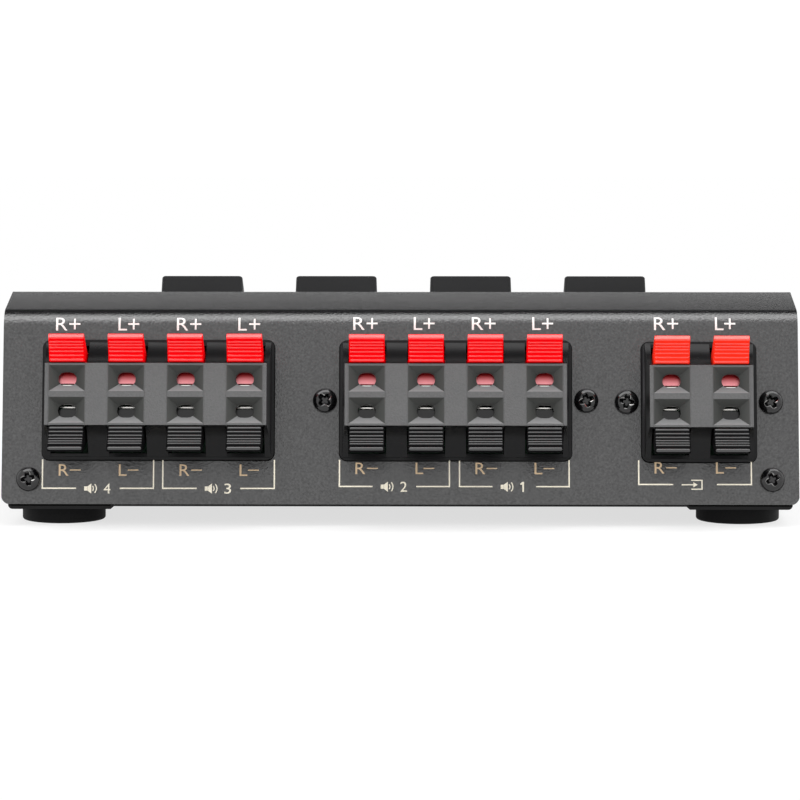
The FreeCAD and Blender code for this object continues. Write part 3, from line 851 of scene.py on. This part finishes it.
def worn_jaw_material(name, block, painted_highlight, painted_shade_red):
    """Finish with painted light: painted shade up a red jaw, turning to a painted highlight over the
    last part towards its tip.
    """
    material = finish_material(
        name, painted_shade_red, 0.25, metallic=0.5, specular=0.5, grain=0.2, grain_depth=0.002
    )
    nodes, links = material.node_tree.nodes, material.node_tree.links
    shader = nodes["Principled BSDF"]
    tint = shader.inputs["Base Color"].links[0].from_node
    place = nodes.new("ShaderNodeTexCoord")
    split = nodes.new("ShaderNodeSeparateXYZ")
    links.new(place.outputs["Object"], split.inputs["Vector"])
    # Painted highlight at the tip, fading to the dark red of the painted shade further up.
    tip = (block @ Vector((0, jaw_tip_t, jaw_top_n))).z
    painted_light_span = (tip * MM, (tip + jaw_pad_fade) * MM)
    fade = map_range(nodes, links, split.outputs["Z"], painted_light_span, (1.0, 0.0), "SMOOTHSTEP")
    painted_light_mix = nodes.new("ShaderNodeMix")
    painted_light_mix.data_type = "RGBA"
    painted_light_mix.inputs["B"].default_value = painted_highlight
    links.new(fade, painted_light_mix.inputs["Factor"])
    links.new(tint.outputs["Result"], painted_light_mix.inputs["A"])
    links.new(painted_light_mix.outputs["Result"], shader.inputs["Base Color"])
    return material


def jaw_pad(name, side):
    """Thin pad on the face of a jaw, for the row on that side of the block's centre line."""
    low, high = jaw_tip_t + jaw_pad_from_tip, jaw_tip_t + jaw_pad_length
    corners = rectangle(-jaw_pad_half_width, jaw_pad_half_width, low, high)
    outline = rounded_outline([(corner, jaw_pad_round) for corner in corners])
    middle_n = jaw_top_n + jaw_pad_height / 2
    pad = prism(outline, jaw_pad_height / 2, name, lambda a, b, h: (a, b, middle_n + h))
    return joined([(pad, side)], name)


for name, place in BLOCKS.items():
    # Each red pad's painted highlight colour and painted shade colour.
    MATERIALS[f"jaw_pad_red_{name}"] = worn_jaw_material(
        f"jaw_pad_red_{name}", place, linear(255, 160, 166), linear(150, 0, 8)
    )
    MATERIALS[f"jaw_pad_black_{name}"] = finish_material(
        f"jaw_pad_black_{name}",
        linear(17, 17, 18),
        0.2,
        specular=0.42,
        grain=0.2,
        grain_depth=0.002,
    )
    for row, side, node, body, column in block_levers(name):
        pad = jaw_pad(f"{node}_pad", side)
        piece = add_piece(f"{node}_pad", pad, f"jaw_pad_{row}_{name}", body, column)

# ---------------------------------------------------------------- screws
head_radius = 2.9
head_height = 2.0
head_side = 0.55
head_crown_radius = 1.1
head_seat_round = 0.12
shank_radius = 1.45
screw_length = 6.0
recess_depth = 1.35
recess_span = 1.75
recess_wing = 0.52
recess_core = 0.6192
rim_depth = 0.26
rim_flare = 1.7
rim_reach = 2.2
rim_over = 0.3
rear_screw_from_side = 6.45
rear_screw_height = 5.95
front_screw_from_side = 9.0
front_screw_height = 5.2
foot_recess_depth = 2.8


def cross_outline(grow, height, scale=1.0):
    """Outline of a cross recess at a height, with its sides moved out by a distance."""
    wing, span, core = recess_wing + grow, recess_span + grow, recess_core + grow
    quarter = [
        Vector((core, -core)),
        Vector((0.8 * span, -wing)),
        Vector((span, -0.7 * wing)),
        Vector((span, 0.7 * wing)),
        Vector((0.8 * span, wing)),
    ]
    turns = [Matrix.Rotation(math.radians(angle), 2) for angle in (0, 90, 180, 270)]
    return [(*(turn @ point * scale), height) for turn in turns for point in quarter]


def screw_mesh():
    """Pan-head screw along Z with a tapered cross recess that flares at its rim, seated at z = 0."""
    profile = [(0, -screw_length), (shank_radius, -screw_length), (shank_radius, 0)]
    profile += [(head_radius - head_seat_round, 0), (head_radius, head_seat_round)]
    profile.append((head_radius, head_side))
    round_in = head_radius - head_crown_radius
    round_up = head_height - head_seat_round - head_side
    steps = 8
    for k in range(1, steps + 1):
        c, s = unit(90 * k / steps)
        profile.append((head_crown_radius + round_in * c, head_side + round_up * s))
    profile.append((0, head_height))
    head = lathe(profile, "screw_head")
    rings = [
        cross_outline(0, head_height - recess_depth, 0.5),
        cross_outline(0, head_height - rim_depth),
        cross_outline(rim_flare * (rim_over + rim_depth), head_height + rim_over),
    ]
    return carved(head, stacked(rings, "screw_recess"), "screw")


def worn_rims(piece, places):
    """The flared rims of the cross recesses are rubbed bright by the driver."""
    piece.data.materials.append(MATERIALS["worn_screw"])
    flare_z = rim_flare / math.hypot(rim_flare, 1)
    backs = [(place.inverted(), place.inverted().to_3x3()) for place in places]
    for polygon in piece.data.polygons:
        for back, turn in backs:
            centre = back @ (polygon.center / MM)
            near = math.hypot(centre.x, centre.y) < rim_reach and centre.z > head_height / 2
            if near and abs((turn @ polygon.normal).z - flare_z) < 0.02:
                polygon.material_index = 1


SCREW = screw_mesh()
case_screw_places = [
    REAR @ at(-(half_width - rear_screw_from_side), rear_screw_height, 0) @ turn_z(12),
    REAR @ at(half_width - rear_screw_from_side, rear_screw_height, 0) @ turn_z(28),
]
for side, turn in ((-1, 40), (1, 65)):
    x = side * (half_width - front_screw_from_side)
    front = at(x, case_high.y, cover_bottom + front_screw_height)
    case_screw_places.append(front @ turn_x(-90) @ turn_z(turn))
block_screw_turns = {"middle": (45, 20), "right": (80, 30)}
for name, turns in block_screw_turns.items():
    screw_x = block_half_width(name) + screw_beside_block
    for side, turn in zip((-1, 1), turns):
        case_screw_places.append(BLOCKS[name] @ at(side * screw_x, 0, 0) @ turn_z(turn))
screws = add_piece(
    "case_screws_finished",
    joined([(SCREW, place) for place in case_screw_places], "case_screws_finished"),
    "black_screw",
)
worn_rims(screws, case_screw_places)
smooth(screws.data, 24)
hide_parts("case_screws")

foot_screw_places = []
for foot in FEET:
    low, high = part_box(foot)
    middle = (low + high) / 2 / MM
    foot_screw_places.append(at(middle.x, middle.y, foot_recess_depth) @ turn_x(180))
foot_screws = add_piece(
    "foot_screws_finished",
    joined([(SCREW, place) for place in foot_screw_places], "foot_screws_finished"),
    "black_screw",
)
smooth(foot_screws.data, 30)
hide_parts("foot_screws")

# ---------------------------------------------------------------- printed marks
ink_height = 0.02


def ink_shape(outline):
    """Flat printed shape on a panel."""
    flat = prism(outline, ink_height / 2, "ink", lambda a, b, h: (a, b, h + ink_height / 2))
    return (flat, Matrix.Identity(4))


def ink_bar(x0, x1, t0, t1):
    return ink_shape(rectangle(x0, x1, t0, t1))


def ink_one(x0, x1, t0, t1):
    """Printed figure 1: a stem at the right with a short flag at its top."""
    height = t1 - t0
    stem, flag = 0.17 * height, t1 - 0.3 * height
    outline = [
        Vector((x1 - stem, t0)),
        Vector((x1, t0)),
        Vector((x1, t1)),
        Vector((x1 - 0.8 * stem, t1)),
        Vector((x0, flag + 0.7 * stem)),
        Vector((x0, flag)),
        Vector((x1 - stem, t1 - 1.6 * stem)),
    ]
    return ink_shape(outline)


def ink_text(text, x0, x1, t0, t1):
    """Printed characters that fill the given room."""
    curve = bpy.data.curves.new("ink_text", "FONT")
    curve.body = text
    curve.extrude = ink_height / 2
    curve.resolution_u = 6
    holder = bpy.data.objects.new("ink_text", curve)
    bpy.context.scene.collection.objects.link(holder)
    graph = bpy.context.evaluated_depsgraph_get()
    mesh = bpy.data.meshes.new_from_object(holder.evaluated_get(graph))
    bpy.data.objects.remove(holder)
    xs = [v.co.x for v in mesh.vertices]
    ys = [v.co.y for v in mesh.vertices]
    sx = (x1 - x0) / (max(xs) - min(xs))
    sy = (t1 - t0) / (max(ys) - min(ys))
    fit = at(x0 - min(xs) * sx, t0 - min(ys) * sy, ink_height / 2) @ Matrix.Diagonal((sx, sy, 1, 1))
    return (mesh, fit)


def laid_on_bend(mesh):
    """The mesh with whatever reaches past the flat rear panel laid on the bend above it."""
    strips, strip_height = 12, 0.15
    bm = bmesh.new()
    bm.from_mesh(mesh)
    for i in range(strips):
        level = flat_top + strip_height * i
        everything = bm.verts[:] + bm.edges[:] + bm.faces[:]
        bmesh.ops.bisect_plane(bm, geom=everything, plane_co=(0, level, 0), plane_no=(0, 1, 0))
    for vert in bm.verts:
        past = vert.co.y - flat_top
        if past > 0:
            vert.co.z -= bend_radius - math.sqrt(bend_radius**2 - past**2)
    bm.to_mesh(mesh)
    bm.free()
    return mesh


def plus_mark(x, t, size, line):
    return [
        ink_bar(x - size / 2, x + size / 2, t - line / 2, t + line / 2),
        ink_bar(x - line / 2, x + line / 2, t - size / 2, t - line / 2),
        ink_bar(x - line / 2, x + line / 2, t + line / 2, t + size / 2),
    ]


def loudspeaker_mark(x, t, height):
    """Plain loudspeaker sign: magnet, cone and two sound arcs."""
    half = height / 2
    neck = 0.42 * half
    cone_back, cone_mouth = x - 0.6, x + 0.35
    cone = [
        Vector((cone_back, t - neck)),
        Vector((cone_mouth, t - half)),
        Vector((cone_mouth, t + half)),
        Vector((cone_back, t + neck)),
    ]
    marks = [ink_bar(x - 1.35, x - 0.65, t - neck, t + neck), ink_shape(cone)]
    half_line = 0.13
    for radius in (0.85, 1.55):
        outer = [Vector((x, t)) + unit(a) * (radius + half_line) for a in range(-42, 43, 6)]
        inner = [Vector((x, t)) + unit(a) * (radius - half_line) for a in range(42, -43, -6)]
        marks.append(ink_shape(outer + inner))
    return marks


def input_mark(x, t, height):
    """Plain sign for an input: an arrow into an open box."""
    half = height / 2
    line = 0.28
    tail, neck, tip = x - 3.2, x - 0.4, x + 0.6
    mouth, back = x - 0.9, x + 1.5
    head = [Vector((neck, t - half / 2)), Vector((tip, t)), Vector((neck, t + half / 2))]
    return [
        ink_bar(tail, neck, t - line / 2, t + line / 2),
        ink_shape(head),
        ink_bar(back, back + line, t - half, t + half),
        ink_bar(mouth, back, t + half - line, t + half),
        ink_bar(mouth, back, t - half, t - half + line),
    ]


# Along each block, the middle of each letter and of the sign at its right.
upper_print = {
    "left": ((-81.08, -77.97), (-66.48, -63.85), (-52.13, -49.01), (-37.77, -34.9)),
    "middle": ((-9.9, -6.79), (4.22, 6.85), (18.46, 21.45), (32.57, 35.21)),
    "right": ((62.01, 65.12), (76.24, 78.76)),
}
lower_print = {
    "left": ((-80.19, -77.45), (-66.13, -63.63), (-51.37, -48.51), (-37.32, -34.94)),
    "middle": ((-9.46, -6.6), (4.6, 6.86), (19.13, 21.87), (32.94, 35.44)),
    "right": ((61.76, 64.6), (76.1, 78.7)),
}
upper_print_t = {"left": 43.36, "middle": 43.56, "right": 43.56}
lower_print_t = {"left": 8.16, "middle": 8.64, "right": 8.86}
upper_letter_height = 3.15
lower_letter_height = 2.75
upper_letter_width = {"R": 2.75, "L": 2.05}
lower_letter_width = {"R": 2.35, "L": 1.85}
letter_line = 0.42
plus_size = 2.65
minus_size = 2.55
minus_line = 0.26
brackets = {
    "left": ((-85.4, -58.6), (-56.7, -29.8)),
    "middle": ((-14.6, 11.9), (14.0, 40.4)),
    "right": ((56.65, 83.75),),
}
bracket_line = 0.31
bracket_top = 10.66
bracket_low = {"left": 3.64, "middle": 4.15, "right": 4.7}
bracket_gap = 5.2
mark_height = 2.4
mark_above_bracket = 0.1
loudspeaker_from_centre = 1.9
number_from_centre = 1.4
number_width = 1.6
one_width = 0.9


def ink_number(number, x0, width, t0, t1, narrow):
    """Printed figure with its left side at x0; a 1 is narrower than the others."""
    if number == 1:
        return ink_one(x0, x0 + narrow, t0, t1)
    return ink_text(str(number), x0, x0 + width, t0, t1)


white, cream, gold = [], [], []
for name in BLOCKS:
    for i, (letter_x, sign_x) in enumerate(upper_print[name]):
        letter = "RL"[i % 2]
        half, t, rise = upper_letter_width[letter] / 2, upper_print_t[name], upper_letter_height / 2
        white.append(ink_text(letter, letter_x - half, letter_x + half, t - rise, t + rise))
        white += plus_mark(sign_x, t, plus_size, letter_line)
    for i, (letter_x, sign_x) in enumerate(lower_print[name]):
        letter = "RL"[i % 2]
        half, t, rise = lower_letter_width[letter] / 2, lower_print_t[name], lower_letter_height / 2
        gold.append(ink_text(letter, letter_x - half, letter_x + half, t - rise, t + rise))
        half, rise = minus_size / 2, minus_line / 2
        gold.append(ink_bar(sign_x - half, sign_x + half, t - rise, t + rise))
    for i, (left, right) in enumerate(brackets[name]):
        centre = (left + right) / 2
        low = bracket_low[name]
        for side, edge in ((-1, left), (1, right)):
            x0, x1 = sorted((edge, edge - side * bracket_line))
            cream.append(ink_bar(x0, x1, low, bracket_top))
            x0, x1 = sorted((edge - side * bracket_line, centre + side * bracket_gap))
            cream.append(ink_bar(x0, x1, low, low + bracket_line))
        mark_t = low + mark_above_bracket
        if name == "right":
            cream += input_mark(centre, mark_t, mark_height)
        else:
            number = {"left": 4, "middle": 2}[name] - i
            cream += loudspeaker_mark(centre - loudspeaker_from_centre, mark_t, mark_height)
            x0, t0, t1 = centre + number_from_centre, mark_t - mark_height / 2, mark_t + mark_height / 2
            cream.append(ink_number(number, x0, number_width, t0, t1, one_width))
for slot, marks in (("white_ink", white), ("cream_ink", cream), ("gold_ink", gold)):
    mesh = laid_on_bend(joined(marks, f"{slot}_marks"))
    add_piece(f"{slot}_marks", mesh, slot, place=REAR)

button_number_f = 34.0
button_number_height = 4.0
button_number_width = 2.6
button_one_width = 1.4
control_marks = []
for number in BUTTON_NUMBERS:
    width = button_one_width if number == 1 else button_number_width
    x0 = -middle_x(f"button_cap_{number}") - width / 2
    low = -button_number_f - button_number_height / 2
    high = low + button_number_height
    control_marks.append(ink_number(number, x0, width, low, high, width))
add_piece(
    "button_numbers",
    joined(control_marks, "button_numbers"),
    "white_ink",
    place=CONTROL @ turn_z(180),
)

# ---------------------------------------------------------------- floor, light and camera
floor_reach = 1600.0
floor_fade = (120.0, 500.0)
floor_mesh = bpy.data.meshes.new("floor")
floor_corners = rectangle(-floor_reach, floor_reach, -floor_reach, floor_reach)
floor_mesh.from_pydata([(*corner * MM, 0) for corner in floor_corners], [], [(0, 1, 2, 3)])
floor = bpy.data.objects.new("floor", floor_mesh)
bpy.context.scene.collection.objects.link(floor)
floor_paint = bpy.data.materials.new("floor_paint")
floor_paint.use_nodes = True
floor_nodes, floor_links = floor_paint.node_tree.nodes, floor_paint.node_tree.links
floor_shader = floor_nodes["Principled BSDF"]
floor_shader.inputs["Roughness"].default_value = 0.9
floor_shader.inputs["Specular IOR Level"].default_value = 0.0
ray = floor_nodes.new("ShaderNodeLightPath")
seen = ray.outputs["Is Camera Ray"]
for kind in ("Is Glossy Ray", "Is Transmission Ray"):
    seen = math_node(floor_nodes, floor_links, "MAXIMUM", seen, ray.outputs[kind])
floor_tint = floor_nodes.new("ShaderNodeMix")
floor_tint.data_type = "RGBA"
floor_tint.inputs["A"].default_value = (0.8, 0.8, 0.8, 1)
floor_tint.inputs["B"].default_value = (0.93, 0.93, 0.93, 1)
floor_links.new(seen, floor_tint.inputs["Factor"])
floor_links.new(floor_tint.outputs["Result"], floor_shader.inputs["Base Color"])
floor_place = floor_nodes.new("ShaderNodeTexCoord")
away = floor_nodes.new("ShaderNodeVectorMath")
away.operation = "LENGTH"
floor_links.new(floor_place.outputs["Object"], away.inputs[0])
fade_span = [distance * MM for distance in floor_fade]
fade = map_range(
    floor_nodes, floor_links, away.outputs["Value"], fade_span, (0.7, 1.0), "SMOOTHSTEP"
)
glow_share = math_node(floor_nodes, floor_links, "MULTIPLY", fade, seen)
glow = floor_nodes.new("ShaderNodeEmission")
glow.inputs["Strength"].default_value = 1.0
floor_mix = floor_nodes.new("ShaderNodeMixShader")
floor_links.new(glow_share, floor_mix.inputs["Fac"])
floor_links.new(floor_shader.outputs["BSDF"], floor_mix.inputs[1])
floor_links.new(glow.outputs["Emission"], floor_mix.inputs[2])
floor_links.new(floor_mix.outputs["Shader"], floor_nodes["Material Output"].inputs["Surface"])
floor.data.materials.append(floor_paint)

world = bpy.data.worlds.new("studio")
bpy.context.scene.world = world
world.use_nodes = True
sky, sky_links = world.node_tree.nodes, world.node_tree.links
direction = sky.new("ShaderNodeTexCoord")
# The sky is bright low down and dark about a pole that leans from the zenith to the control side.
sky_lean = 30
sky_levels = ((0.0, 1.3), (0.55, 1.25), (0.81, 0.26), (0.93, 0.0))
height = sky.new("ShaderNodeVectorMath")
height.operation = "DOT_PRODUCT"
height.inputs[1].default_value = turn_x(-sky_lean).to_3x3() @ Vector((0, 0, 1))
sky_links.new(direction.outputs["Generated"], height.inputs[0])
ramp = sky.new("ShaderNodeValToRGB")
stops = ramp.color_ramp.elements
stops[0].position, stops[1].position = sky_levels[0][0], sky_levels[-1][0]
for position, _ in sky_levels[1:-1]:
    stops.new(position)
for stop, (_, level) in zip(stops, sky_levels):
    stop.color = (level, level, level, 1)
sky_links.new(height.outputs["Value"], ramp.inputs["Fac"])
sky_links.new(ramp.outputs["Color"], sky["Background"].inputs["Color"])
sky["Background"].inputs["Strength"].default_value = 1.0


def softbox(name, place, size, watts, target):
    """Area lamp at a place in millimetres that faces the object."""
    lamp = bpy.data.lights.new(name, "AREA")
    lamp.shape = "RECTANGLE"
    lamp.size, lamp.size_y = size[0] * MM, size[1] * MM
    lamp.energy = watts
    holder = bpy.data.objects.new(name, lamp)
    bpy.context.scene.collection.objects.link(holder)
    holder.location = Vector(place) * MM
    holder.rotation_euler = (Vector(target) - Vector(place)).to_track_quat("-Z", "Y").to_euler()


softbox("key_softbox", (25, rear_y - 60, 450), (800, 260), 2.4, (0, rear_y, 45))
for name, side in (("front_left_softbox", -1), ("front_right_softbox", 1)):
    softbox(name, (side * 1100, 700, 700), (1300, 1100), 6.0, (0, 0, 25))

camera_data = bpy.data.cameras.new("camera")
camera_data.sensor_width = 36
camera_data.lens = 185.4
camera_data.clip_end = 100
camera = bpy.data.objects.new("camera", camera_data)
bpy.context.scene.collection.objects.link(camera)
camera_x, camera_distance, camera_height = 9.16, 972.2, 132.7
camera_pitch, camera_yaw = 6.01, 0.54
camera.location = (camera_x * MM, (rear_y - camera_distance) * MM, camera_height * MM)
camera.rotation_euler = (math.radians(90 - camera_pitch), 0, math.radians(camera_yaw))
bpy.context.scene.camera = camera
bpy.context.scene.view_settings.view_transform = "Standard"

bpy.context.view_layer.update()
